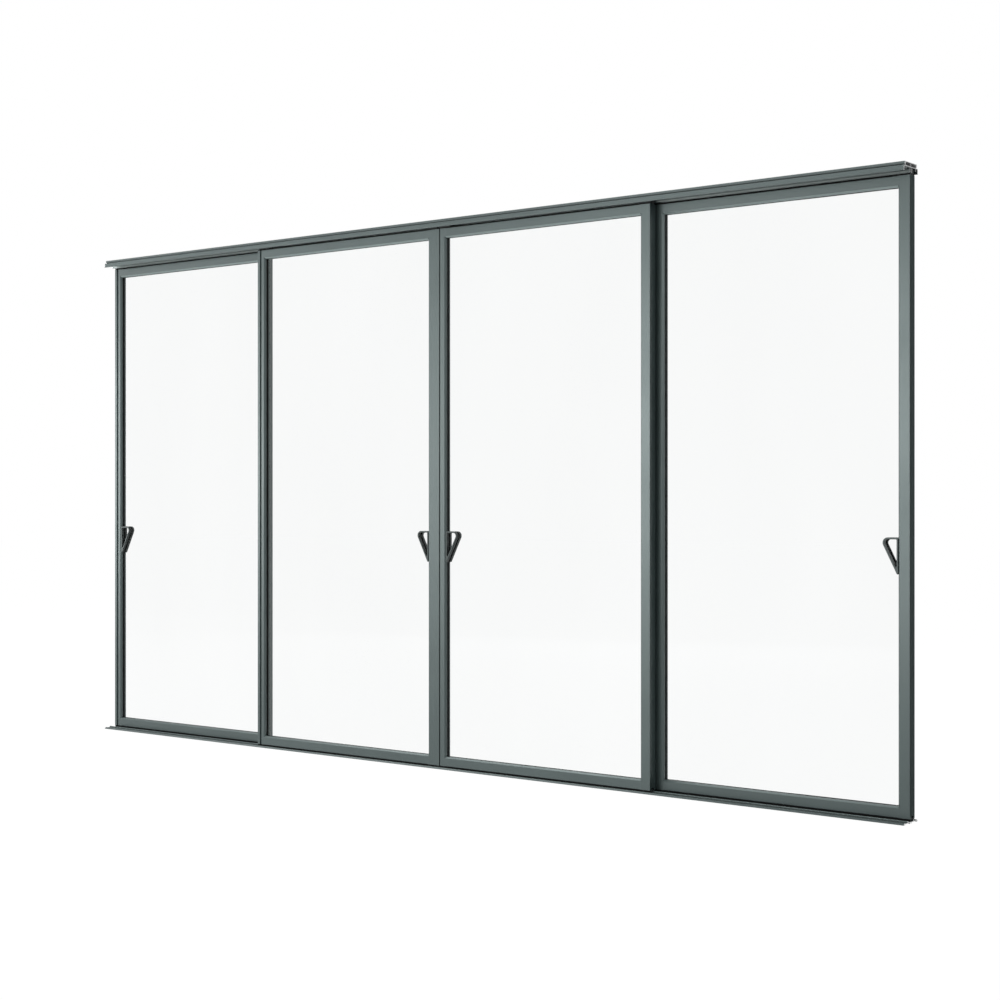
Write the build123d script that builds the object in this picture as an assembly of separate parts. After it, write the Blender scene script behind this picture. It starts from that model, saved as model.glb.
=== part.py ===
"""Four-leaf sliding door: the middle leaves run on the front track, the outer leaves on the rear one."""
import os

from build123d import *

os.makedirs("parts", exist_ok=True)

# Overall sizes. X runs along the tracks, Y from front to rear, Z up from the floor.
overall_height = 2100.0
leaves_width = 3860.0
track_overhang = 5.0
leaf_depth = 36.0
leaf_bottom = 12.0
leaf_lap = 12.5
meeting_gap = 5.0

# Clearances
head_gap = 6.0
running_fit = 0.3
moving_gap = 5.0
leaf_to_leaf = 6.0

# Top track section
head_height = 30.0
head_depth = 100.0
head_wall = 2.0
head_lip_reach = 3.0
head_upper_height = 13.0
head_upper_setback = 6.0
head_cove_radius = 1.5
head_notch_height = 4.0
head_notch_depth = 5.0
channel_width = 28.0
guide_leg_drop = 9.0

# Sill section
sill_depth = 102.0
sill_plate = 2.0
sill_foot_height = 3.0
sill_foot_width = 3.0
sill_middle_foot = 16.0
sill_lip_height = 6.5
sill_nose_height = 1.5
sill_lip_slope = 6.0
sill_lip_top = 3.0
rib_width = 4.0
rib_height = 10.0

# Leaf frame sections
stile_width = 41.0
rail_height = 36.0
profile_wall = 2.0
profile_edge_radius = 1.2
bevel = 5.0
slot_width = 9.0
slot_depth = 12.0
groove_from_edge = 13.0
groove_width = 12.0
groove_depth = 4.5
rail_channel_width = 14.0
rail_web = 4.0
stile_notch_height = 8.0

# Glazing
glass_thickness = 5.0
glass_inset = 10.0
gasket_proud = 1.5

# Meeting edges of the middle leaves
strip_lap = 12.5
strip_thickness = 2.0
strip_edge_radius = 0.8
rebate_depth = 9.0

# Pulls: the triangle's sharp corners, before they are rounded
pull_point_z = 780.5
pull_height = 127.5
pull_reach = 65.5
pull_thickness = 6.0
pull_width = 11.5
pull_setback = 1.5
pull_corner_radius = 17.0
pull_foot_radius = 3.0
pull_inner_radius = 2.5
pull_edge_chamfer = 0.8

# Rollers and guides
block_from_edge = 1.0
block_length = 60.0
block_width = 24.0
block_chamfer = 3.0
shoe_height = 4.5
shoe_slot_fit = 0.5
roller_from_edge = 140.0
roller_head_gap = 1.7
roller_flange = 2.0
roller_width = 10.0
axle_radius = 2.5
fork_wall = 1.7
fork_top = 1.4
fork_below_axle = 4.0
fork_past_axle = 20.0
guide_head_from = 2.0
guide_head_height = 11.0

# Sizes that follow from the ones above
track_length = leaves_width + 2 * track_overhang
track_pitch = leaf_depth + leaf_to_leaf
front_y = -track_pitch / 2
rear_y = track_pitch / 2
head_bottom = overall_height - head_height
head_web_top = overall_height - head_upper_height
head_web_low = head_web_top - head_wall
leaf_width = (leaves_width / 2 - meeting_gap / 2 + leaf_lap) / 2
leaf_top = head_bottom - head_gap
leaf_height = leaf_top - leaf_bottom
leaf_middle = (leaf_width / 2, 0, leaf_bottom + leaf_height / 2)
half_leaf = leaf_depth / 2
opening_width = leaf_width - 2 * stile_width
opening_height = leaf_height - 2 * rail_height
rebate_width = strip_lap + moving_gap - meeting_gap / 2
rail_channel_depth = rail_height - slot_depth - rail_web
rail_channel_top = leaf_bottom + rail_channel_depth
roller_room = rail_channel_top - rib_height - running_fit
roller_groove_radius = (roller_room - roller_head_gap - roller_flange) / 2
axle_z = rib_height + running_fit + roller_groove_radius


def rectangle(low, high):
    """A rectangle between two corners."""
    middle = ((low[0] + high[0]) / 2, (low[1] + high[1]) / 2)
    return Pos(*middle) * Rectangle(high[0] - low[0], high[1] - low[1])


def along_x(profile, length):
    """A (y, z) profile carried along X from the origin."""
    return extrude(Plane.YZ * profile, amount=length, dir=(1, 0, 0))


def both_sides(profile):
    """A profile's front half together with the same mirrored behind it."""
    return profile + mirror(profile, Plane.YZ)


def on_middle(width, depth, height):
    """A box about the middle of a leaf."""
    return Pos(*leaf_middle) * Box(width, depth, height)


def top_track():
    """Two closed rooms above a web, and below it two channels in which the leaves are guided."""
    front = -head_depth / 2
    upper_front = front + head_upper_setback
    guide_far = front_y - channel_width / 2
    guide_near = front_y + channel_width / 2
    notch_back = upper_front + head_notch_depth
    room = rectangle((upper_front, head_web_low), (0, overall_height))
    room -= rectangle((upper_front, head_web_top), (notch_back, head_web_top + head_notch_height))
    room -= rectangle((notch_back + head_wall, head_web_top), (-head_wall / 2, overall_height - head_wall))
    web = rectangle((front, head_web_low), (0, head_web_top))
    wall = rectangle((front, head_bottom), (front + head_wall, head_web_top))
    lip = rectangle((front - head_lip_reach, head_bottom), (front + head_wall, head_bottom + head_wall))
    short_leg = rectangle((guide_far - head_wall, head_web_low - guide_leg_drop), (guide_far, head_web_top))
    middle_leg = rectangle((guide_near, head_bottom), (guide_near + head_wall, head_web_top))
    half = room + web + wall + lip + short_leg + middle_leg
    crease = half.vertices().sort_by_distance((front, head_bottom + head_wall))[0]
    half = fillet(crease, head_cove_radius)
    return Pos(-track_length / 2, 0, 0) * along_x(both_sides(half), track_length)


def sill_track():
    """A thin plate on feet, with a sloping lip front and rear and two round-topped running ribs."""
    front = -sill_depth / 2
    lip_front = front + sill_lip_slope
    lip_back = lip_front + sill_lip_top
    plate_top = sill_foot_height + sill_plate
    plate = rectangle((lip_front, sill_foot_height), (0, plate_top))
    middle_foot = rectangle((-sill_middle_foot / 2, 0), (0, plate_top))
    lip_foot = rectangle((lip_back - sill_foot_width, 0), (lip_back, sill_lip_height))
    slope = Polyline((front, 0), (front, sill_nose_height), (lip_front, sill_lip_height))
    underside = Polyline((lip_front, sill_lip_height), (lip_front, sill_foot_height), (front, 0))
    nose = make_face(slope + underside)
    rib_radius = rib_width / 2
    rib_round = rib_height - rib_radius
    rib = rectangle((front_y - rib_radius, sill_foot_height), (front_y + rib_radius, rib_round))
    rib += Pos(front_y, rib_round) * Circle(rib_radius)
    half = plate + middle_foot + lip_foot + nose + rib
    return Pos(-track_length / 2, 0, 0) * along_x(both_sides(half), track_length)


def glazed_opening():
    """What the frame loses round the glass: a bevel towards each face and the slot for the pane."""
    wide = Rectangle(opening_width + 2 * bevel, opening_height + 2 * bevel)
    frustum = extrude(wide, amount=bevel, taper=45)
    centre_x, centre_y, centre_z = leaf_middle
    front = Pos(centre_x, -half_leaf, centre_z) * Rot(-90, 0, 0) * frustum
    rear = Pos(centre_x, half_leaf, centre_z) * Rot(90, 0, 0) * frustum
    slot = on_middle(opening_width + 2 * slot_depth, slot_width, opening_height + 2 * slot_depth)
    return front + rear + slot


def stile_profile(front_loss, rear_loss):
    """A hollow stile from its outer edge inwards; the losses are what is cut from each face later."""
    outline = rectangle((0, -half_leaf), (stile_width, half_leaf))
    outline = fillet(outline.vertices().group_by(Axis.X)[0], profile_edge_radius)
    room_low = (profile_wall, -half_leaf + front_loss + profile_wall)
    room_high = (stile_width - slot_depth - profile_wall, half_leaf - rear_loss - profile_wall)
    return outline - rectangle(room_low, room_high)


def stile(profile, opening):
    """A full-height stile at the leaf's left edge, notched under its foot so that it passes over the rib."""
    body = Pos(0, 0, leaf_bottom) * extrude(profile, amount=leaf_height)
    notch = rectangle((-rail_channel_width / 2, 0), (rail_channel_width / 2, stile_notch_height))
    return body - Pos(0, 0, leaf_bottom) * along_x(notch, stile_width) - opening


def at_right_edge(shape):
    """The same piece at the leaf's other edge."""
    return mirror(shape, Plane(origin=leaf_middle, z_dir=(1, 0, 0)))


def outer_stile(opening):
    groove_low = (groove_from_edge, -half_leaf)
    groove_high = (groove_from_edge + groove_width, -half_leaf + groove_depth)
    return stile(stile_profile(groove_depth, 0) - rectangle(groove_low, groove_high), opening)


def inner_stile(opening):
    return at_right_edge(stile(stile_profile(0, 0), opening))


def meeting_stile(opening):
    """A seat in front for the leaf's own strip, and a rebate behind for the other leaf's strip."""
    profile = stile_profile(strip_thickness, rebate_depth)
    profile -= rectangle((0, -half_leaf), (rebate_width, -half_leaf + strip_thickness))
    profile -= rectangle((0, half_leaf - rebate_depth), (rebate_width, half_leaf))
    return at_right_edge(stile(profile, opening))


def meeting_strip():
    low = (-meeting_gap / 2 - strip_lap, -half_leaf)
    profile = rectangle(low, (rebate_width, -half_leaf + strip_thickness))
    profile = fillet(profile.vertices().group_by(Axis.X)[0], strip_edge_radius)
    return at_right_edge(Pos(0, 0, leaf_bottom) * extrude(profile, amount=leaf_height))


def rail_profile():
    """A rail seen from its end, outer edge down."""
    outline = rectangle((-half_leaf, 0), (half_leaf, rail_height))
    return fillet(outline.vertices().group_by(Axis.Y)[0], profile_edge_radius)


def bottom_rail(opening):
    """Open below for the rollers, with a room in each side wall."""
    half_channel = rail_channel_width / 2
    channel = rectangle((-half_channel, 0), (half_channel, rail_channel_depth))
    room_low = (half_channel + profile_wall, profile_wall)
    room_high = (half_leaf - profile_wall, rail_height - bevel - 2 * profile_wall)
    profile = rail_profile() - channel - both_sides(rectangle(room_low, room_high))
    return Pos(stile_width, 0, leaf_bottom) * along_x(profile, opening_width) - opening


def top_rail(opening):
    room_low = (-half_leaf + profile_wall, profile_wall)
    room_high = (half_leaf - profile_wall, rail_height - slot_depth - profile_wall)
    profile = rail_profile() - rectangle(room_low, room_high)
    return Pos(stile_width, 0, leaf_top) * along_x(mirror(profile, Plane.XZ), opening_width) - opening


def glass():
    return on_middle(opening_width + 2 * glass_inset, glass_thickness, opening_height + 2 * glass_inset)


def gasket():
    """A black ring that fills the slot round the pane and stands a little proud of the frame."""
    ring = on_middle(opening_width + 2 * slot_depth, slot_width, opening_height + 2 * slot_depth)
    sight = on_middle(opening_width - 2 * gasket_proud, slot_width, opening_height - 2 * gasket_proud)
    return ring - sight - glass()


def pull(at_outer_stile, at_front):
    """A closed triangle of flat strip: foot on the stile, level top leg, slanting leg back down."""
    outline = make_face(Polyline((0, 0), (pull_reach, pull_height), (0, pull_height), close=True))
    hollow = offset(outline, -pull_thickness, kind=Kind.INTERSECTION)
    hollow = fillet(hollow.vertices().sort_by(Axis.X)[-1], pull_corner_radius - pull_thickness)
    hollow = fillet(hollow.vertices().group_by(Axis.X)[0], pull_inner_radius)
    outline = fillet(outline.vertices().sort_by(Axis.X)[-1], pull_corner_radius)
    outline = fillet(outline.vertices().sort_by(Axis.Y)[0], pull_foot_radius)
    loop = Rot(90, 0, 0) * extrude(outline - hollow, amount=pull_width)
    faces = loop.faces().sort_by(Axis.Y)
    loop = chamfer(faces[0].edges() + faces[-1].edges(), pull_edge_chamfer)
    near_y = -half_leaf + pull_setback if at_front else half_leaf - pull_setback - pull_width
    loop = Pos(stile_width, near_y + pull_width, pull_point_z) * loop
    return loop if at_outer_stile else at_right_edge(loop)


def roller_wheel():
    """A wheel whose round groove runs on the round top of the rib."""
    flange = roller_groove_radius + roller_flange
    groove = rib_width / 2 + running_fit
    tread = rectangle((0, -roller_width / 2), (flange, roller_width / 2))
    tread -= Pos(roller_groove_radius + groove, 0) * Circle(groove)
    axle = rectangle((0, -rail_channel_width / 2), (axle_radius, rail_channel_width / 2))
    return revolve(tread + axle, axis=Axis.Y)


def roller_shoe():
    """A low shoe astride the rib at the leaf's edge."""
    half_block = block_width / 2
    half_slot = rib_width / 2 + shoe_slot_fit
    shoe_low = leaf_bottom - shoe_height
    profile = rectangle((-half_block, shoe_low), (half_block, leaf_bottom))
    profile -= rectangle((-half_slot, shoe_low), (half_slot, rib_height + shoe_slot_fit))
    return Pos(block_from_edge, 0, 0) * along_x(profile, block_length)


def roller_fork():
    """A channel, open below, that runs from the shoe inside the bottom rail to past the wheel."""
    half_channel = rail_channel_width / 2
    inside = half_channel - fork_wall
    fork_low = axle_z - fork_below_axle
    profile = rectangle((-half_channel, fork_low), (half_channel, rail_channel_top))
    profile -= rectangle((-inside, fork_low), (inside, rail_channel_top - fork_top))
    channel = along_x(profile, roller_from_edge + fork_past_axle - stile_width)
    post = rectangle((-half_channel, leaf_bottom), (half_channel, rail_channel_top))
    return Pos(stile_width, 0, 0) * (channel + along_x(post, block_from_edge + block_length - stile_width))


def roller():
    """Shoe, fork and wheel as one fitted unit."""
    return roller_shoe() + roller_fork() + Pos(roller_from_edge, 0, axle_z) * roller_wheel()


def guide():
    """A block on the leaf's top corner, whose wider head runs in the top track's channel."""
    half_block = block_width / 2
    half_head = channel_width / 2 - running_fit
    head_low = head_bottom + guide_head_from
    head_high = head_low + guide_head_height
    profile = rectangle((-half_block, leaf_top), (half_block, head_high))
    profile += rectangle((-half_head, head_low), (half_head, head_high))
    block = Pos(block_from_edge, 0, 0) * along_x(profile, block_length)
    corners = block.edges().filter_by(Axis.Z).group_by(Axis.Y)
    return chamfer(corners[0] + corners[-1], block_chamfer)


def both_ends(shape):
    return [shape, at_right_edge(shape)]


def place(shape, left, y, turned):
    """Stand a leaf's piece on its track; the right-hand leaves are the left-hand ones turned half round."""
    turn = Rot(0, 0, 180) if turned else Rot(0, 0, 0)
    return Pos(0, y, 0) * turn * Pos(left, 0, 0) * shape


def save(name, shapes):
    solids = [solid for shape in shapes for solid in shape.solids()]
    export_step(Compound(children=solids) if len(solids) > 1 else solids[0], f"parts/{name}.step")


def leaf_pieces(opening, meets):
    """Every piece of a left-hand leaf, by name; a middle leaf meets its neighbour, an outer one doesn't."""
    pieces = {
        "outer_stile": [outer_stile(opening)],
        "top_rail": [top_rail(opening)],
        "bottom_rail": [bottom_rail(opening)],
        "glass": [glass()],
        "gasket": [gasket()],
        "front_pull": [pull(not meets, True)],
        "rear_pull": [pull(not meets, False)],
        "rollers": both_ends(roller()),
        "guides": both_ends(guide()),
    }
    if meets:
        pieces["meeting_stile"] = [meeting_stile(opening)]
        pieces["meeting_strip"] = [meeting_strip()]
    else:
        pieces["inner_stile"] = [inner_stile(opening)]
    return pieces


def save_pair(left_name, right_name, pieces, left, y):
    """A left-hand leaf, and the same leaf turned half round, so that its front pull comes behind."""
    behind = {"front_pull": "rear_pull", "rear_pull": "front_pull"}
    for piece, shapes in pieces.items():
        save(f"{left_name}_{piece}", [place(shape, left, y, False) for shape in shapes])
        save(f"{right_name}_{behind.get(piece, piece)}", [place(shape, left, y, True) for shape in shapes])


opening = glazed_opening()
save("top_track", [top_track()])
save("sill_track", [sill_track()])
save_pair("leaf_1", "leaf_4", leaf_pieces(opening, meets=False), -leaves_width / 2, rear_y)
save_pair("leaf_2", "leaf_3", leaf_pieces(opening, meets=True), -meeting_gap / 2 - leaf_width, front_y)
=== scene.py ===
# Four-leaf sliding door: finish, glazing trim, small fixings, studio and camera.
# The CAD solids come in as the frame; everything is in metres, Z up, doorway along X.
import math
import bpy
import numpy as np
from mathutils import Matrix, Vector


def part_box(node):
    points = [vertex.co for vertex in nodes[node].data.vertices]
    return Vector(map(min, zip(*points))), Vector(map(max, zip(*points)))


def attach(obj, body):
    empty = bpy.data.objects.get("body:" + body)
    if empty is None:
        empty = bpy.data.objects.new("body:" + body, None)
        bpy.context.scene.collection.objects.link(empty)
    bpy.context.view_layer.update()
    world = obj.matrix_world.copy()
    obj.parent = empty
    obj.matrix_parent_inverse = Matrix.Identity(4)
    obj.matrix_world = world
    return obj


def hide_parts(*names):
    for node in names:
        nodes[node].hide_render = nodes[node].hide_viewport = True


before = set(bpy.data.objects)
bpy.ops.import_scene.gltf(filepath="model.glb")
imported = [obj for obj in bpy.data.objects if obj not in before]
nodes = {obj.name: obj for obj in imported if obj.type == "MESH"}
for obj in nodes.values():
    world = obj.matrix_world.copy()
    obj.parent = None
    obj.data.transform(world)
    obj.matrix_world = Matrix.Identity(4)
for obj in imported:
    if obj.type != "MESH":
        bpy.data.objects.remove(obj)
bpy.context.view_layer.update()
scene = bpy.context.scene
scene.view_settings.view_transform = "Standard"
leafNames = ["leaf_1", "leaf_2", "leaf_3", "leaf_4"]
print("frame loaded:", len(nodes), "nodes")


# node helpers
def newMaterial(name):
    mat = bpy.data.materials.new(name)
    mat.use_nodes = True
    mat.node_tree.nodes.clear()
    return mat, mat.node_tree


def addNode(tree, kind, **settings):
    node = tree.nodes.new(kind)
    for key, value in settings.items():
        setattr(node, key, value)
    return node


def wire(tree, *pairs):
    for source, target in pairs:
        tree.links.new(source, target)


def objectCoords(tree):
    return addNode(tree, "ShaderNodeTexCoord").outputs["Object"]


def axesOf(tree, coords):
    axes = addNode(tree, "ShaderNodeSeparateXYZ")
    wire(tree, (coords, axes.inputs[0]))
    return axes.outputs["X"], axes.outputs["Y"], axes.outputs["Z"]


def mathNode(tree, operation, a, b=None, clamp=False):
    node = addNode(tree, "ShaderNodeMath", operation=operation, use_clamp=clamp)
    for index, value in enumerate((a, b)):
        if value is None:
            continue
        if isinstance(value, (int, float)):
            node.inputs[index].default_value = value
        else:
            tree.links.new(value, node.inputs[index])
    return node.outputs[0]


def allOf(tree, mask, *others):
    for other in others:
        mask = mathNode(tree, "MULTIPLY", mask, other)
    return mask


def anyOf(tree, a, b):
    return mathNode(tree, "MAXIMUM", a, b)


def above(tree, value, limit):
    return mathNode(tree, "GREATER_THAN", value, limit)


def below(tree, value, limit):
    return mathNode(tree, "LESS_THAN", value, limit)


def between(tree, value, low, high):
    return allOf(tree, above(tree, value, low), below(tree, value, high))


def rangeNode(tree, value, fromMin, fromMax, toMin, toMax):
    node = addNode(tree, "ShaderNodeMapRange", clamp=True)
    tree.links.new(value, node.inputs["Value"])
    limits = {"From Min": fromMin, "From Max": fromMax, "To Min": toMin, "To Max": toMax}
    for key, number in limits.items():
        node.inputs[key].default_value = number
    return node.outputs["Result"]


def spread(tree, noise, toMin, toMax, span=(0.3, 0.7)):
    # a noise stays mostly within its span, which is drawn out to the wanted numbers
    return rangeNode(tree, noise, *span, toMin, toMax)


def mixColour(tree, factor, a, b, blend="MIX"):
    node = addNode(tree, "ShaderNodeMix", data_type="RGBA", blend_type=blend)
    for socket, value in ((node.inputs[0], factor), (node.inputs[6], a), (node.inputs[7], b)):
        if isinstance(value, (int, float)):
            socket.default_value = value
        elif isinstance(value, tuple):
            socket.default_value = (*value, 1.0)
        else:
            tree.links.new(value, socket)
    return node.outputs[2]


def noiseAt(tree, coords, scale, detail=3.0, stretch=(1, 1, 1)):
    mapping = addNode(tree, "ShaderNodeMapping")
    mapping.inputs["Scale"].default_value = stretch
    noise = addNode(tree, "ShaderNodeTexNoise")
    noise.inputs["Scale"].default_value = scale
    noise.inputs["Detail"].default_value = detail
    wire(tree, (coords, mapping.inputs["Vector"]), (mapping.outputs[0], noise.inputs["Vector"]))
    return noise.outputs["Fac"]


def bumpFrom(tree, height, strength, distance):
    bump = addNode(tree, "ShaderNodeBump")
    bump.inputs["Strength"].default_value = strength
    bump.inputs["Distance"].default_value = distance
    wire(tree, (height, bump.inputs["Height"]))
    return bump.outputs[0]


def principled(tree, sockets):
    # numbers and colours are set on the shader's own sockets, the rest is wired
    bsdf = addNode(tree, "ShaderNodeBsdfPrincipled")
    for key, value in sockets.items():
        if isinstance(value, bpy.types.NodeSocket):
            tree.links.new(value, bsdf.inputs[key])
        else:
            bsdf.inputs[key].default_value = value
    return bsdf.outputs[0]


def mixShaders(tree, factor, a, b):
    mix = addNode(tree, "ShaderNodeMixShader")
    wire(tree, (factor, mix.inputs[0]), (a, mix.inputs[1]), (b, mix.inputs[2]))
    return mix.outputs[0]


def showSurface(tree, shader, kind="ShaderNodeOutputMaterial"):
    out = addNode(tree, kind)
    wire(tree, (shader, out.inputs[0]))


def edgeMask(tree, radius):
    # how far the rounded normal leaves the true one: nought on flats, one along edges
    bevel = addNode(tree, "ShaderNodeBevel", samples=6)
    bevel.inputs["Radius"].default_value = radius
    geometry = addNode(tree, "ShaderNodeNewGeometry")
    dot = addNode(tree, "ShaderNodeVectorMath", operation="DOT_PRODUCT")
    wire(tree, (bevel.outputs[0], dot.inputs[0]), (geometry.outputs["Normal"], dot.inputs[1]))
    return rangeNode(tree, dot.outputs["Value"], 0.995, 0.80, 0.0, 1.0)


def creaseShadeMask(tree, reach):
    # one in narrow creases, where the coat gets painted shade, nought on open faces
    shade = addNode(tree, "ShaderNodeAmbientOcclusion", samples=6, only_local=True)
    shade.inputs["Distance"].default_value = reach
    return rangeNode(tree, shade.outputs["AO"], 0.60, 0.25, 0.0, 1.0)


# satin powder coat, dark grey with a green cast, with die lines along the member
paintLook = {
    "base": (0.022, 0.034, 0.0335),
    "worn": (0.08, 0.10, 0.098),
    "tone": (0.93, 1.05),  # darkest and lightest cloud of the base
    "metallic": 0.08,
    "gloss": 0.8,
    "glossTint": (0.88, 1.0, 0.99, 1.0),
    "roughness": 0.36,
    "uneven": 0.03,  # of the roughness, either way
    "dieLines": 0.05,
    "peel": 0.05,
    "peelDepth": 0.0003,
    "edgeRadius": 0.0011,
    "edgeWear": (0.25, 0.9),
    "creaseReach": 0.0025,
    "creaseShadeShare": 0.35,  # share of the base left in the painted crease shade
    "dull": 0.80,  # roughness in the shaded creases
    "cloudScale": 3.5,
    "lineScale": 420.0,
    "peelScale": 900.0,
    "wearScale": 60.0,
}
upright, lengthways, noGrain = (1, 1, 0.01), (0.01, 1, 1), (1, 1, 1)  # which way the die lines run


def paintShader(tree, coords, look, grain, placedShade=None, bevelSheen=None):
    cloud = noiseAt(tree, coords, look["cloudScale"], 4.0)  # slow change of tone along a member
    lines = noiseAt(tree, coords, look["lineScale"], 2.0, grain)
    peel = noiseAt(tree, coords, look["peelScale"], 2.0)  # orange peel of the coat
    wear = noiseAt(tree, coords, look["wearScale"], 4.0)
    tone = mathNode(tree, "ADD", spread(tree, cloud, *look["tone"]),
                    spread(tree, lines, -look["dieLines"], look["dieLines"]))
    coat = mixColour(tree, 1.0, look["base"], tone, "MULTIPLY")
    edge = allOf(tree, edgeMask(tree, look["edgeRadius"]),
                 spread(tree, wear, *look["edgeWear"], (0.35, 0.65)))
    # painted shade: this mask marks creases and any given shaded places, where the coat is darkened and
    # its roughness rises
    dust = creaseShadeMask(tree, look["creaseReach"])
    if placedShade is not None:
        dust = anyOf(tree, dust, placedShade)
    creaseShaded = mixColour(tree, dust, coat, tuple(look["creaseShadeShare"] * c for c in look["base"]))
    colour = mixColour(tree, edge, creaseShaded, look["worn"])
    metallic = look["metallic"]
    # painted sheen: where its mask is set, a lighter and more metallic colour stands in for the light on
    # the rails' bevels
    if bevelSheen is not None:
        mask, bevelSheenLook = bevelSheen
        colour = mixColour(tree, mask, colour, bevelSheenLook["base"])
        metallic = rangeNode(tree, mask, 0.0, 1.0, look["metallic"], bevelSheenLook["metallic"])
    low, high = look["roughness"] - look["uneven"], look["roughness"] + look["uneven"]
    satin = mathNode(tree, "ADD", spread(tree, cloud, low, high),
                     spread(tree, peel, -look["uneven"], look["uneven"]))
    return principled(tree, {
        "Base Color": colour,
        "Metallic": metallic,
        "Roughness": anyOf(tree, satin, mathNode(tree, "MULTIPLY", dust, look["dull"])),
        "Specular IOR Level": look["gloss"],
        "Specular Tint": look["glossTint"],
        "Normal": bumpFrom(tree, peel, look["peel"], look["peelDepth"]),
    })


def paintMaterial(name, look, grain):
    mat, tree = newMaterial(name)
    showSurface(tree, paintShader(tree, objectCoords(tree), look, grain))
    return mat


# painted sheen on the rails' glazing bevels: a lighter, more metallic colour that stands in for the light
# these bevels catch
bevelSheenLook = {
    "base": (0.205, 0.25, 0.245),
    "metallic": 0.5,
    "bevel": 0.005,
    "lowerRailSheenShare": 0.25,  # share of the painted sheen on the lower rails, full on the upper rails
}


def railMaterial(name, look, bevelSheen, low, high):
    # the painted sheen covers what lies between the lower rails' upper bevel and the upper rails' lower
    # one
    mat, tree = newMaterial(name)
    coords = objectCoords(tree)
    _, _, height = axesOf(tree, coords)
    mask = allOf(tree, between(tree, height, low - bevelSheen["bevel"], high + bevelSheen["bevel"]),
                 rangeNode(tree, height, low, high, bevelSheen["lowerRailSheenShare"], 1.0))
    showSurface(tree, paintShader(tree, coords, look, lengthways, None, (mask, bevelSheen)))
    return mat


def openingOf(leaf):
    # low and high X, then low and high Z, of the opening between a leaf's stiles and rails
    (x0, _, _), (_, _, z0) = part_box(leaf + "_bottom_rail")
    (_, _, z1), (x1, _, _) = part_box(leaf + "_top_rail")
    return x0, x1, z0, z1


stilePaint = paintMaterial("stilePaint", paintLook, upright)
railPaint = railMaterial("railPaint", paintLook, bevelSheenLook, *openingOf("leaf_1")[2:])
print("frame paint ready")

# tracks: the same coat outside, bare aluminium on the sawn ends and inside the closed rooms
bareLook = {
    "base": (0.88, 0.89, 0.89),
    "streak": (0.70, 0.71, 0.72),
    "streakShare": 0.25,
    "channel": (0.24, 0.27, 0.265),
    "shine": (1.0, 0.25),  # metallic inside, and on the sawn ends
    "roughness": (0.30, 0.40),
    "sawLines": 0.10,
    "sawDepth": 0.0002,
    "sawScale": 900.0,
}
# half widths from the middle, and heights as drops from the track's top, lower one first
roomSize = {
    "roomHalf": 0.0385, "room": (0.0132, 0.0015),
    "channelHalf": 0.0481, "channel": (0.0299, 0.0135),
    # heights where the painted shade in the notch starts and fades out
    "notchShadeFoot": (0.0131, 0.0127), "notchShadeHead": (0.0095, 0.0015),
    "troughHalf": 0.0425, "troughTop": 0.0055,  # the sill's troughs, which get painted shade, from the floor up
    "sawnDepth": 0.0003,
}


def trackMaterial(name, look, bare, room):
    mat, tree = newMaterial(name)
    coords = objectCoords(tree)
    x, y, height = axesOf(tree, coords)
    along, across = mathNode(tree, "ABSOLUTE", x), mathNode(tree, "ABSOLUTE", y)
    end, _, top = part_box("top_track")[1]
    # painted shade along the notch in the top track's face, thinning out upwards, and in the sill's
    # troughs
    notchShade = allOf(tree, rangeNode(tree, height, *(top - drop for drop in room["notchShadeFoot"]), 0.0, 1.0),
                  rangeNode(tree, height, *(top - drop for drop in room["notchShadeHead"]), 1.0, 0.0))
    troughShade = allOf(tree, below(tree, across, room["troughHalf"]), below(tree, height, room["troughTop"]))
    paint = paintShader(tree, coords, look, lengthways, anyOf(tree, notchShade, troughShade))
    sawn = above(tree, along, end - room["sawnDepth"])
    inside = allOf(tree, below(tree, across, room["roomHalf"]),
                   between(tree, height, *(top - drop for drop in room["room"])))
    channel = allOf(tree, below(tree, across, room["channelHalf"]),
                    between(tree, height, *(top - drop for drop in room["channel"])))
    saw = noiseAt(tree, coords, bare["sawScale"], 2.0, (1, 0.05, 1))
    streaked = mixColour(tree, spread(tree, saw, 0.0, bare["streakShare"]), bare["base"], bare["streak"])
    unsawn = mathNode(tree, "SUBTRACT", channel, sawn, True)
    metal = principled(tree, {
        "Base Color": mixColour(tree, unsawn, streaked, bare["channel"]),
        "Metallic": rangeNode(tree, sawn, 0.0, 1.0, *bare["shine"]),
        "Roughness": spread(tree, saw, *bare["roughness"]),
        "Normal": bumpFrom(tree, saw, bare["sawLines"], bare["sawDepth"]),
    })
    showSurface(tree, mixShaders(tree, anyOf(tree, sawn, anyOf(tree, inside, channel)), paint, metal))
    return mat


trackPaint = trackMaterial("trackPaint", paintLook, bareLook, roomSize)
print("track finish ready")

# pulls: the same colour, darker and smoother
pullLook = dict(paintLook, base=(0.0125, 0.016, 0.0155), worn=(0.05, 0.06, 0.059), gloss=0.42,
                roughness=0.34, dieLines=0.02, peel=0.04, edgeRadius=0.0009)
pullPaint = paintMaterial("pullPaint", pullLook, noGrain)

# clear float glass: a very slight green-grey body, lets shadow rays through
glassLook = {
    "tint": (0.93, 0.938, 0.936),
    "wiped": (0.945, 0.953, 0.951),
    "ior": 1.50,
    "glossTint": (0.45, 0.45, 0.45, 1.0),
    "smear": 0.02,  # roughness where it is smeared
    "smearScale": 2.0,
    "ripple": 0.015,
    "rippleDepth": 0.001,
}


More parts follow.
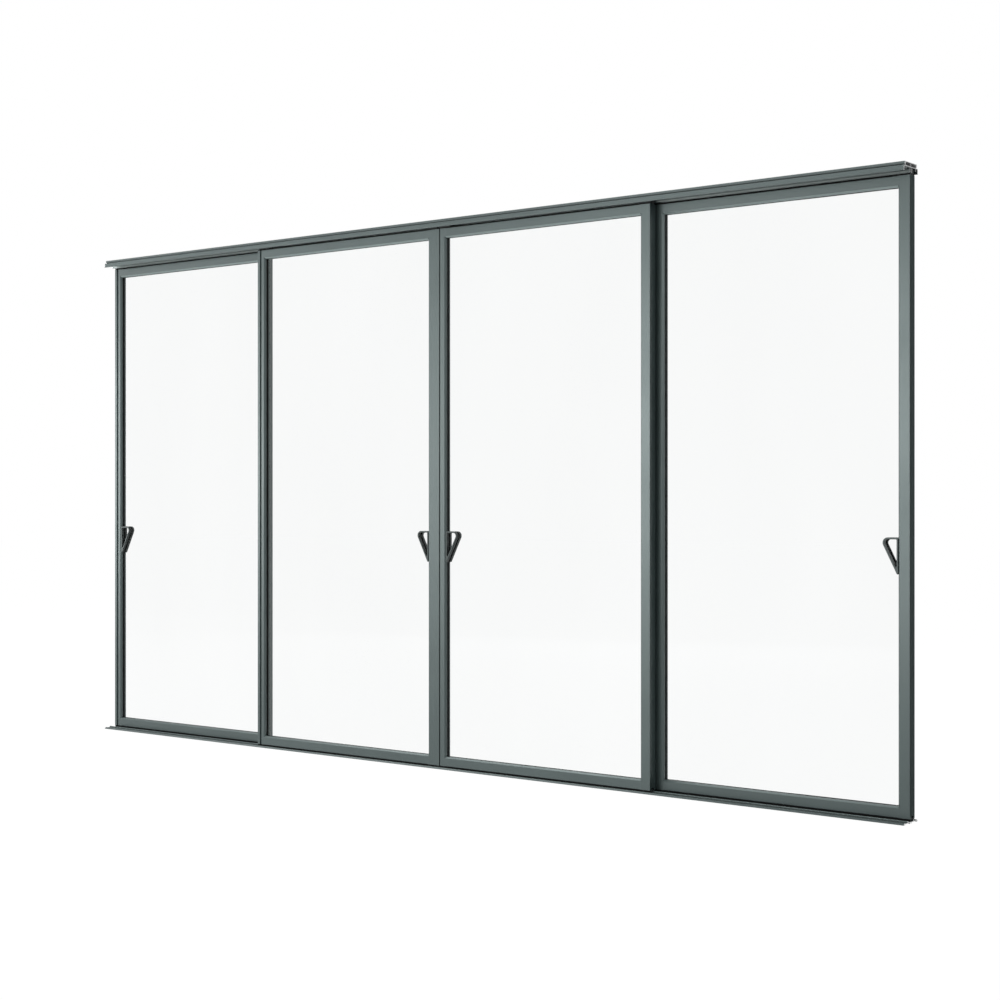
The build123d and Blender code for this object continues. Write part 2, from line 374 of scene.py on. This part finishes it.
def glassMaterial(name, look):
    mat, tree = newMaterial(name)
    smear = noiseAt(tree, objectCoords(tree), look["smearScale"], 3.0, (1, 1, 0.35))
    body = principled(tree, {
        "Base Color": mixColour(tree, spread(tree, smear, 0.0, 1.0), look["tint"], look["wiped"]),
        "Roughness": spread(tree, smear, 0.0, look["smear"]),
        "IOR": look["ior"],
        "Specular Tint": look["glossTint"],
        "Transmission Weight": 1.0,
        "Normal": bumpFrom(tree, smear, look["ripple"], look["rippleDepth"]),
    })
    clear = addNode(tree, "ShaderNodeBsdfTransparent")
    clear.inputs[0].default_value = (*look["tint"], 1.0)
    path = addNode(tree, "ShaderNodeLightPath")
    showSurface(tree, mixShaders(tree, path.outputs["Is Shadow Ray"], body, clear.outputs[0]))
    return mat


clearGlass = glassMaterial("clearGlass", glassLook)

# gasket rubber and nylon: dull, speckled, slightly uneven
rubberLook = {"base": (0.004, 0.004, 0.004), "dust": (0.013, 0.014, 0.014),
              "roughness": 0.66, "gloss": 0.12, "grain": 0.15}
nylonLook = {"base": (0.030, 0.033, 0.033), "dust": (0.060, 0.064, 0.063),
             "roughness": 0.48, "gloss": 0.40, "grain": 0.08}
speckle = {"cloudScale": 25.0, "dustShare": 0.6, "grainScale": 1400.0, "uneven": 0.08, "depth": 0.0002}


def dullMaterial(name, look):
    mat, tree = newMaterial(name)
    coords = objectCoords(tree)
    cloud = noiseAt(tree, coords, speckle["cloudScale"], 5.0)
    grain = noiseAt(tree, coords, speckle["grainScale"], 2.0)
    dust = spread(tree, cloud, 0.0, speckle["dustShare"], (0.45, 0.75))
    low, high = look["roughness"] - speckle["uneven"], look["roughness"] + speckle["uneven"]
    showSurface(tree, principled(tree, {
        "Base Color": mixColour(tree, dust, look["base"], look["dust"]),
        "Roughness": spread(tree, grain, low, high),
        "Specular IOR Level": look["gloss"],
        "Normal": bumpFrom(tree, grain, look["grain"], speckle["depth"]),
    }))
    return mat


gasketRubber = dullMaterial("gasketRubber", rubberLook)
blackNylon = dullMaterial("blackNylon", nylonLook)

# which finish each node takes, by the end of its name
finishes = {
    "top_track": trackPaint, "sill_track": trackPaint,
    "stile": stilePaint, "strip": stilePaint, "rail": railPaint, "pull": pullPaint,
    "glass": clearGlass, "gasket": gasketRubber, "rollers": blackNylon, "guides": blackNylon,
}
for name, node in nodes.items():
    key = next(k for k in finishes if name.endswith(k))
    node.data.materials.clear()
    node.data.materials.append(finishes[key])
print("finishes assigned")

added = []


# putting a computed surface into the scene
def addPiece(name, shells, mat, body, smooth=False):
    # shells are pairs of points and faces, joined into one mesh
    starts = np.cumsum([0] + [len(points) for points, _ in shells])
    points = np.vstack([points for points, _ in shells])
    faces = np.vstack([faces + start for (_, faces), start in zip(shells, starts)])
    mesh = bpy.data.meshes.new(name)
    mesh.from_pydata(points.tolist(), [], faces.tolist())
    mesh.polygons.foreach_set("use_smooth", np.full(len(faces), smooth))
    mesh.materials.append(mat)
    piece = bpy.data.objects.new(name, mesh)
    scene.collection.objects.link(piece)
    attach(piece, body)
    added.append(piece)
    return piece


def gridFaces(rows, columns, closeRows, closeColumns):
    # quads of a grid of rows x columns points, joined end to end where it closes
    i, j = np.meshgrid(np.arange(rows if closeRows else rows - 1),
                       np.arange(columns if closeColumns else columns - 1), indexing="ij")
    nextI, nextJ = (i + 1) % rows, (j + 1) % columns
    corners = [i * columns + j, nextI * columns + j, nextI * columns + nextJ, i * columns + nextJ]
    return np.stack(corners, -1).reshape(-1, 4)


def paneMiddle(leaf):
    return sum(corner[1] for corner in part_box(leaf + "_glass")) / 2


# glazing gasket: one soft lip on each side of the pane, all round the opening
gasketSize = {
    "slotDepth": 0.0112,
    "stand": 0.0005,
    "glassHalf": 0.0026,
    "slotHalf": 0.0044,
    "lipIn": (0.05, 0.10, 0.35, 0.70, 0.95, 1.0, 0.85, 0.60),  # towards the opening, 1 is the stand
    "lipOut": (1.0, 1.80, 1.95, 1.85, 1.40, 0.80, 0.25, 0.0),  # away from the pane, 1 is the slot's wall
}


def gasketRing(leaf, side, look):
    # a closed lip profile (inward, depth) carried round the opening's four mitred corners:
    # corner + inward step along both axes, depth outward from the pane
    inward = np.concatenate([[-look["slotDepth"]] * 2, look["stand"] * np.array(look["lipIn"])])
    depth = np.array([0.0, 1.0, *look["lipOut"]])
    depth = look["glassHalf"] + depth * (look["slotHalf"] - look["glassHalf"])
    x0, x1, z0, z1 = openingOf(leaf)
    cornerX, stepX = np.array([x0, x1, x1, x0]), np.array([1, -1, -1, 1])
    cornerZ, stepZ = np.array([z0, z0, z1, z1]), np.array([1, 1, -1, -1])
    x = cornerX[:, None] + stepX[:, None] * inward
    z = cornerZ[:, None] + stepZ[:, None] * inward
    y = paneMiddle(leaf) + side * np.broadcast_to(depth, x.shape)
    points = np.stack([x, y, z], -1).reshape(-1, 3)
    faces = gridFaces(len(cornerX), len(inward), True, True)
    return points, faces if side > 0 else faces[:, ::-1]


for leaf in leafNames:
    rings = [gasketRing(leaf, side, gasketSize) for side in (1, -1)]
    lips = addPiece(leaf + "_gasket_lips", rings, gasketRubber, leaf)
    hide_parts(leaf + "_gasket")
print("gasket lips made")

# rubber pads that bed each pull on the pane
padSize = {"glassHalf": 0.00252, "flatness": 0.00001}


def pullPad(pull, middle, look):
    # the flat back of a pull carried straight to the pane:
    # the same triangles at both ends, walls along the rim
    mesh = pull.data
    mesh.calc_loop_triangles()
    points = np.empty(3 * len(mesh.vertices))
    corners = np.empty(3 * len(mesh.loop_triangles), int)
    mesh.vertices.foreach_get("co", points)
    mesh.loop_triangles.foreach_get("vertices", corners)
    points, corners = points.reshape(-1, 3), corners.reshape(-1, 3)
    offset = points[:, 1] - middle
    back = np.abs(offset).min()
    side = np.sign(offset[0])
    flat = corners[(np.abs(offset)[corners] < back + look["flatness"]).all(1)]
    rim, place = np.unique(np.round(points[flat.ravel()][:, [0, 2]], 6), axis=0, return_inverse=True)
    flat = place.reshape(-1, 3)
    edges = np.vstack([flat[:, [0, 1]], flat[:, [1, 2]], flat[:, [2, 0]]])
    count = len(rim)
    key, turnedKey = edges[:, 0] * count + edges[:, 1], edges[:, 1] * count + edges[:, 0]
    a, b = edges[~np.isin(key, turnedKey)].T  # edges that no second triangle shares
    near, far = (np.insert(rim, 1, middle + side * at, axis=1) for at in (back, look["glassHalf"]))
    walls = [np.stack([a, b, b + count], 1), np.stack([a, b + count, a + count], 1)]
    return np.vstack([near, far]), np.vstack([flat[:, ::-1], flat + count, *walls])


for leaf in leafNames:
    pulls = (nodes[leaf + "_front_pull"], nodes[leaf + "_rear_pull"])
    pads = [pullPad(pull, paneMiddle(leaf), padSize) for pull in pulls]
    addPiece(leaf + "_pull_pads", pads, gasketRubber, leaf)
print("pull pads made")

# pile seals: black brush along the top and bottom of each leaf, front and rear; their black also stands
# in for the shade in the gaps between leaf and tracks
pileSize = {"width": 0.0042, "inset": 0.0010, "endInset": 0.0010, "top": 0.0052, "bottom": 0.0062,
            "steps": 320, "around": 9, "fuzz": 0.00035}
pileLook = {"root": (0.002, 0.002, 0.002), "tip": (0.010, 0.011, 0.011), "roughness": 0.95, "gloss": 0.1,
            "hairScale": 1600.0, "hairs": 0.6, "hairDepth": 0.0006}


def pileStrip(x0, x1, y, z, reach, look, seed):
    # a half-oval of pile, width across and reach away from the rail, with a little seeded fuzz on its tip
    fuzz = np.random.default_rng(seed)
    x = np.linspace(x0, x1, look["steps"])
    turn = np.linspace(0, np.pi, look["around"])
    across = np.cos(turn) * look["width"] / 2
    away = np.sin(turn) ** 0.45 * reach
    ragged = 1 - np.abs(fuzz.normal(0, look["fuzz"], (look["steps"], look["around"]))) / abs(reach)
    grid = np.stack(np.broadcast_arrays(x[:, None], y + across[None, :], z + away[None, :] * ragged), -1)
    faces = gridFaces(look["steps"], look["around"], False, True)
    return grid.reshape(-1, 3), faces if reach < 0 else faces[:, ::-1]


def pileMaterial(name, look):
    mat, tree = newMaterial(name)
    # the hairs stand up from the rail
    hairs = noiseAt(tree, objectCoords(tree), look["hairScale"], 3.0, (1, 1, 0.08))
    tips = spread(tree, hairs, 0.0, 1.0, (0.35, 0.65))
    showSurface(tree, principled(tree, {
        "Base Color": mixColour(tree, tips, look["root"], look["tip"]),
        "Roughness": look["roughness"],
        "Specular IOR Level": look["gloss"],
        "Normal": bumpFrom(tree, hairs, look["hairs"], look["hairDepth"]),
    }))
    return mat


blackPile = pileMaterial("blackPile", pileLook)
for number, leaf in enumerate(leafNames):
    low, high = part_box(leaf + "_outer_stile")
    openLeft, openRight, _, _ = openingOf(leaf)
    stileWidth = high[0] - low[0]
    x0 = min(low[0], openLeft - stileWidth) + pileSize["endInset"]
    x1 = max(high[0], openRight + stileWidth) - pileSize["endInset"]
    offset = pileSize["inset"] + pileSize["width"] / 2
    rows = [(y, z, reach) for z, reach in ((high[2], pileSize["top"]), (low[2], -pileSize["bottom"]))
            for y in (low[1] + offset, high[1] - offset)]
    strips = [pileStrip(x0, x1, *row, pileSize, 10 * number + index) for index, row in enumerate(rows)]
    addPiece(leaf + "_pile_seals", strips, blackPile, leaf, True)
print("pile seals made")

# countersunk screws: two in each pull's foot, and a row down the middle of the sill
screwSize = {"radius": 0.0028, "rise": 0.0003, "blade": 0.00055, "arm": 0.0017, "sink": 0.0009,
             "rings": 15, "around": 48}
pullScrews = {"footThickness": 0.006, "heights": (0.34, 0.86)}  # heights as shares of the pull's own
sillScrews = {"radius": 0.0036, "count": 9, "pitch": 0.43, "seat": 0.005}


def screwHead(place, along, look, radius):
    # a shallow dome, rise high in the middle and nought at the rim, with a cross sunk into it:
    # the cross is where the smaller of |u| and |v| is under the blade and the larger under the arm
    grow = radius / look["radius"]
    r = np.linspace(0, radius, look["rings"])[:, None]
    turn = np.linspace(0, 2 * np.pi, look["around"], endpoint=False)[None, :]
    u, v = r * np.cos(turn), r * np.sin(turn)
    thin, wide = np.minimum(np.abs(u), np.abs(v)), np.maximum(np.abs(u), np.abs(v))
    cross = np.clip(4 - 4 * thin / (look["blade"] * grow), 0, 1)
    cross = cross * np.clip(8 - 8 * wide / (look["arm"] * grow), 0, 1)
    up = look["rise"] * (1 - (r / radius) ** 2) - look["sink"] * grow * cross
    normal = np.array(along, float)
    side = np.array([0.0, 0.0, 1.0]) if abs(normal[2]) < 0.5 else np.array([1.0, 0.0, 0.0])
    other = np.cross(normal, side)
    grid = np.array(place) + u[..., None] * side + v[..., None] * other + up[..., None] * normal
    return grid.reshape(-1, 3), gridFaces(look["rings"], look["around"], False, True)


for leaf in leafNames:
    openLeft, openRight, _, _ = openingOf(leaf)
    heads = []
    for which in ("_front_pull", "_rear_pull"):
        low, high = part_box(leaf + which)
        inward = 1 if (low[0] + high[0]) < (openLeft + openRight) else -1
        foot = low[0] if inward > 0 else high[0]
        for share in pullScrews["heights"]:
            place = (foot + inward * pullScrews["footThickness"], (low[1] + high[1]) / 2,
                     low[2] + share * (high[2] - low[2]))
            heads.append(screwHead(place, (inward, 0, 0), screwSize, screwSize["radius"]))
    addPiece(leaf + "_pull_screws", heads, pullPaint, leaf, True)
rowStart = -sillScrews["pitch"] * (sillScrews["count"] - 1) / 2
heads = [screwHead((rowStart + sillScrews["pitch"] * i, 0.0, sillScrews["seat"]), (0, 0, 1),
                   screwSize, sillScrews["radius"]) for i in range(sillScrews["count"])]
addPiece("sill_screws", heads, trackPaint, "tracks", True)
print("screws made")

# studio: pale floor and white surround
studio = {
    "floorSize": 60.0,
    "floorColour": (0.90, 0.90, 0.90),
    "floorWhite": 0.97,  # share of plain white in what the camera, metal and glass see of the floor
    "floorBright": 1.02,
    "ambient": 0.38,
}


def stagePlane(name, corners, faces, mat):
    mesh = bpy.data.meshes.new(name)
    mesh.from_pydata(corners, [], faces)
    mesh.materials.append(mat)
    plane = bpy.data.objects.new(name, mesh)
    scene.collection.objects.link(plane)
    return plane


def diffuseShader(tree, colour):
    diffuse = addNode(tree, "ShaderNodeBsdfDiffuse")
    diffuse.inputs[0].default_value = (*colour, 1.0)
    return diffuse.outputs[0]


def whiteForSight(tree):
    path = addNode(tree, "ShaderNodeLightPath")
    seen = mathNode(tree, "ADD", path.outputs["Is Camera Ray"], path.outputs["Is Glossy Ray"], True)
    return mathNode(tree, "ADD", seen, path.outputs["Is Transmission Ray"], True)


def buildFloor(look):
    half = look["floorSize"] / 2
    mat, tree = newMaterial("paleFloor")
    white = addNode(tree, "ShaderNodeEmission")
    white.inputs["Strength"].default_value = look["floorBright"]
    share = mathNode(tree, "MULTIPLY", whiteForSight(tree), look["floorWhite"])
    showSurface(tree, mixShaders(tree, share, diffuseShader(tree, look["floorColour"]), white.outputs[0]))
    corners = [(-half, -half, 0), (half, -half, 0), (half, half, 0), (-half, half, 0)]
    floor = stagePlane("floor", corners, [(0, 1, 2, 3)], mat)
    return floor


def buildWorld(look):
    world = bpy.data.worlds.new("studio")
    world.use_nodes = True
    tree = world.node_tree
    tree.nodes.clear()
    sight = addNode(tree, "ShaderNodeBackground")
    room = addNode(tree, "ShaderNodeBackground")
    room.inputs["Strength"].default_value = look["ambient"]
    for background in (sight, room):
        background.inputs["Color"].default_value = (1, 1, 1, 1)
    showSurface(tree, mixShaders(tree, whiteForSight(tree), room.outputs[0], sight.outputs[0]),
                "ShaderNodeOutputWorld")
    scene.world = world


floor = buildFloor(studio)
buildWorld(studio)

# soft boxes, two to the left in front, one above, one behind and one off the right end:
# place, aim, size in metres and brightness (1 is plain white)
softBoxes = {
    "nearBox": {"place": (-1.6, -5.4, 1.42), "aim": (-1.6, 0.0, 1.42), "size": (3.5, 2.1), "bright": 7.6},
    "farBox": {"place": (-8.0, -5.2, 1.40), "aim": (-3.6, 0.0, 1.40), "size": (4.4, 1.8), "bright": 8.4},
    "topBox": {"place": (-3.4, -0.9, 5.00), "aim": (-3.0, -0.2, 0.0), "size": (7.5, 1.6), "bright": 4.4},
    "backBox": {"place": (-3.0, 5.5, 1.80), "aim": (-1.0, 0.0, 1.40), "size": (5.0, 2.4), "bright": 2.4},
    "endBox": {"place": (6.4, -2.0, 3.00), "aim": (1.9, 0.0, 1.60), "size": (2.0, 2.0), "bright": 6.0},
}


def buildSoftBox(name, box, receivers):
    lamp = bpy.data.lights.new(name, "AREA")
    lamp.shape = "RECTANGLE"
    lamp.size, lamp.size_y = box["size"]
    lamp.energy = box["bright"] * math.pi * lamp.size * lamp.size_y
    holder = bpy.data.objects.new(name, lamp)
    holder.location = box["place"]
    facing = Vector(box["aim"]) - Vector(box["place"])
    holder.rotation_euler = facing.to_track_quat("-Z", "Y").to_euler()
    holder.visible_camera = False
    scene.collection.objects.link(holder)
    holder.light_linking.receiver_collection = receivers


receivers = bpy.data.collections.new("softBoxReceivers")  # the boxes light everything but the panes
for piece in [floor] + added + [node for name, node in nodes.items() if not name.endswith("glass")]:
    receivers.objects.link(piece)
for name, box in softBoxes.items():
    buildSoftBox(name, box, receivers)

# a grey card behind the right end, out of sight, that darkens the leaf edges' reflections
cardLook = {"from": (1.3, 0.45), "to": (6.5, 2.5), "foot": (1.95, 0.06), "footLift": 0.003,
            "height": 3.2, "grey": (0.30, 0.31, 0.31)}


def buildCard(look):
    (x0, y0), (x1, y1), (footX, footY) = look["from"], look["to"], look["foot"]
    lift, height = look["footLift"], look["height"]
    corners = [(x0, y0, 0), (x1, y1, 0), (x1, y1, height), (x0, y0, height),
               (footX, footY, lift), (x1, footY, lift), (x1, y1, lift), (x0, y0, lift)]
    mat, tree = newMaterial("greyCard")
    showSurface(tree, diffuseShader(tree, look["grey"]))
    card = stagePlane("greyCard", corners, [(0, 1, 2, 3), (4, 5, 6, 7)], mat)
    card.visible_camera = False
    card.visible_diffuse = False
    card.visible_transmission = False
    card.visible_shadow = False


buildCard(cardLook)
print("studio lit")

# camera: level, turned 38 degrees from square on, at breast height
view = {"place": (4.4005, -5.2752, 1.0317), "turn": 38.01, "lens": 64.283, "sensor": 36.0,
        "shiftUp": -0.00113, "farClip": 200.0}
camera = bpy.data.cameras.new("camera")
camera.lens = view["lens"]
camera.sensor_width = view["sensor"]
camera.shift_y = view["shiftUp"]
camera.clip_end = view["farClip"]
eye = bpy.data.objects.new("camera", camera)
eye.location = view["place"]
eye.rotation_euler = (math.radians(90.0), 0.0, math.radians(view["turn"]))
scene.collection.objects.link(eye)
scene.camera = eye
print("camera set")
